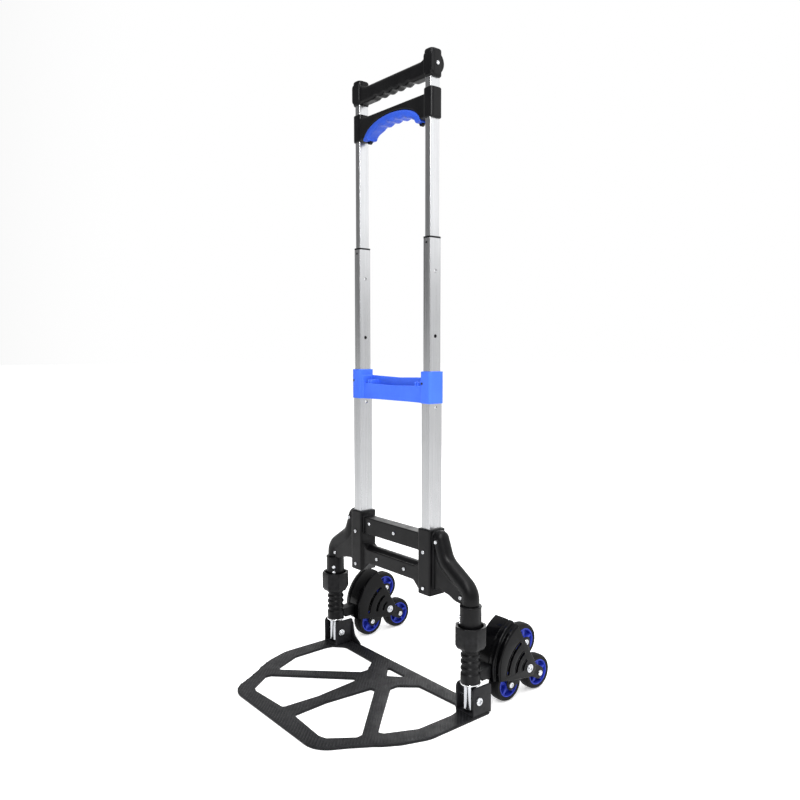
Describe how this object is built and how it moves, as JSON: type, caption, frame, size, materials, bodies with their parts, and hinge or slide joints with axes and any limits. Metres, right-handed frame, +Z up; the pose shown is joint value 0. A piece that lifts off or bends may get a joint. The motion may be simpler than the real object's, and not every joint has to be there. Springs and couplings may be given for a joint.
{
  "type": "hand truck",
  "caption": "Folding stair-climbing hand truck with telescoping twin-tube mast, ribbed toe plate and swing-in triple-wheel clusters.",
  "frame": {"origin": "centre of the bounding box on the floor plane", "axes": "+Z up along the mast; -Y is the front, where the toe plate lies; +X is the right-hand leg seen from the front"},
  "size_m": [0.429, 0.4366, 1.0575],
  "materials": {
    "shell_black": "fine grained satin black",
    "gloss_black": "glossy black",
    "blue_plastic": "smooth royal blue",
    "blue_grip": "smooth deep blue",
    "blue_rim": "satin deep blue",
    "anodised": "satin anodised",
    "leg_metal": "plain drawn tube",
    "chrome": "polished plate",
    "screw_zinc": "bright zinc plate",
    "screw_black": "black oxide",
    "plate_black": "charcoal coating with fine ribs",
    "bracket_black": "satin black coating",
    "tyre_black": "matte solid rubber",
    "spider_black": "satin black",
    "spring_steel": "plain spring wire",
    "guide_plastic": "plain sliding plastic"
  },
  "bodies": {
    "frame": {"base_shell_front": "shell_black", "base_shell_rear": "shell_black", "base_shell_screws": "screw_zinc", "base_socket_rivets": "screw_zinc", "leg_collars": "shell_black", "collar_screws": "screw_zinc", "leg_tube_right": "leg_metal", "leg_tube_left": "leg_metal", "leg_plugs": "guide_plastic", "leg_washers": "chrome", "lower_mast_tube_right": "anodised", "lower_mast_tube_left": "anodised", "tube_bridge": "blue_plastic", "bridge_screws": "screw_black"},
    "mast_middle": {"middle_mast_tube_right": "anodised", "middle_mast_tube_left": "anodised", "middle_tube_caps": "shell_black", "middle_cap_rivets": "screw_black", "middle_guides": "guide_plastic"},
    "lower_lock_pins": {"lower_lock_pins": "chrome"},
    "mast_upper": {"upper_mast_tube_right": "anodised", "upper_mast_tube_left": "anodised", "upper_guides": "guide_plastic", "top_handle": "shell_black", "handle_rivets": "screw_zinc", "handle_plugs": "guide_plastic", "release_springs": "spring_steel"},
    "upper_lock_pins": {"upper_lock_pins": "chrome"},
    "release_handle": {"release_handle_body": "shell_black", "release_grip": "blue_grip", "release_lugs": "shell_black", "release_rods": "spring_steel"},
    "toe_plate": {"toe_plate": "plate_black", "toe_bracket_right": "bracket_black", "toe_bracket_left": "bracket_black", "hinge_bolts": "screw_zinc"},
    "wheel_arm_right": {"wheel_arm_right": "shell_black", "fender_right": "gloss_black", "cluster_axle_right": "screw_zinc"},
    "cluster_right": {"spider_right": "spider_black", "wheel_bolts_right": "screw_zinc"},
    "wheel_right_1": {"wheel_tyre_right_1": "tyre_black", "wheel_rim_right_1": "blue_rim"},
    "wheel_right_2": {"wheel_tyre_right_2": "tyre_black", "wheel_rim_right_2": "blue_rim"},
    "wheel_right_3": {"wheel_tyre_right_3": "tyre_black", "wheel_rim_right_3": "blue_rim"},
    "wheel_arm_left": {"wheel_arm_left": "shell_black", "fender_left": "gloss_black", "cluster_axle_left": "screw_zinc"},
    "cluster_left": {"spider_left": "spider_black", "wheel_bolts_left": "screw_zinc"},
    "wheel_left_1": {"wheel_tyre_left_1": "tyre_black", "wheel_rim_left_1": "blue_rim"},
    "wheel_left_2": {"wheel_tyre_left_2": "tyre_black", "wheel_rim_left_2": "blue_rim"},
    "wheel_left_3": {"wheel_tyre_left_3": "tyre_black", "wheel_rim_left_3": "blue_rim"}
  },
  "joints": [
    {"name": "mast_middle_slide", "type": "slide", "parent": "frame", "child": "mast_middle", "axis": [0, 0, 1], "range_m": [-0.215, 0]},
    {"name": "mast_upper_slide", "type": "slide", "parent": "mast_middle", "child": "mast_upper", "axis": [0, 0, 1], "range_m": [-0.18, 0]},
    {"name": "lower_lock_button", "type": "slide", "parent": "mast_middle", "child": "lower_lock_pins", "axis": [-1, 0, 0], "range_m": [0, 0.0035], "stiffness_N_per_m": 300, "springref_m": -0.003},
    {"name": "release_lift", "type": "slide", "parent": "mast_upper", "child": "release_handle", "axis": [0, 0, 1], "range_m": [0, 0.012], "stiffness_N_per_m": 500, "springref_m": -0.01, "deforming": ["release_springs"]},
    {"name": "upper_lock_retract", "type": "slide", "parent": "mast_upper", "child": "upper_lock_pins", "axis": [-1, 0, 0], "range_m": [0, 0.0035]},
    {"name": "toe_fold", "type": "hinge", "parent": "frame", "child": "toe_plate", "pos_m": [0, 0.03566, 0.028], "axis": [-1, 0, 0], "range_deg": [0, 90]},
    {"name": "wheel_arm_right_swing", "type": "hinge", "parent": "frame", "child": "wheel_arm_right", "pos_m": [0.1875, 0.03666, 0.09], "axis": [0, 0, 1], "range_deg": [0, 90]},
    {"name": "wheel_arm_left_swing", "type": "hinge", "parent": "frame", "child": "wheel_arm_left", "pos_m": [-0.1875, 0.03666, 0.09], "axis": [0, 0, -1], "range_deg": [0, 90]},
    {"name": "cluster_right_spin", "type": "hinge", "parent": "wheel_arm_right", "child": "cluster_right", "pos_m": [0.1875, 0.15266, 0.0503], "axis": [1, 0, 0], "continuous": true},
    {"name": "wheel_right_1_spin", "type": "hinge", "parent": "cluster_right", "child": "wheel_right_1", "pos_m": [0.1875, 0.15266, 0.0923], "axis": [1, 0, 0], "continuous": true},
    {"name": "wheel_right_2_spin", "type": "hinge", "parent": "cluster_right", "child": "wheel_right_2", "pos_m": [0.1875, 0.18904, 0.0293], "axis": [1, 0, 0], "continuous": true},
    {"name": "wheel_right_3_spin", "type": "hinge", "parent": "cluster_right", "child": "wheel_right_3", "pos_m": [0.1875, 0.11629, 0.0293], "axis": [1, 0, 0], "continuous": true},
    {"name": "cluster_left_spin", "type": "hinge", "parent": "wheel_arm_left", "child": "cluster_left", "pos_m": [-0.1875, 0.15266, 0.0503], "axis": [1, 0, 0], "continuous": true},
    {"name": "wheel_left_1_spin", "type": "hinge", "parent": "cluster_left", "child": "wheel_left_1", "pos_m": [-0.1875, 0.15266, 0.0923], "axis": [1, 0, 0], "continuous": true},
    {"name": "wheel_left_2_spin", "type": "hinge", "parent": "cluster_left", "child": "wheel_left_2", "pos_m": [-0.1875, 0.18904, 0.0293], "axis": [1, 0, 0], "continuous": true},
    {"name": "wheel_left_3_spin", "type": "hinge", "parent": "cluster_left", "child": "wheel_left_3", "pos_m": [-0.1875, 0.11629, 0.0293], "axis": [1, 0, 0], "continuous": true}
  ],
  "couplings": [
    {"joint": "upper_lock_retract", "follows": "release_lift", "ratio": 0.2916},
    {"joint": "wheel_arm_right_swing", "follows": "toe_fold", "ratio": 1},
    {"joint": "wheel_arm_left_swing", "follows": "toe_fold", "ratio": 1}
  ]
}
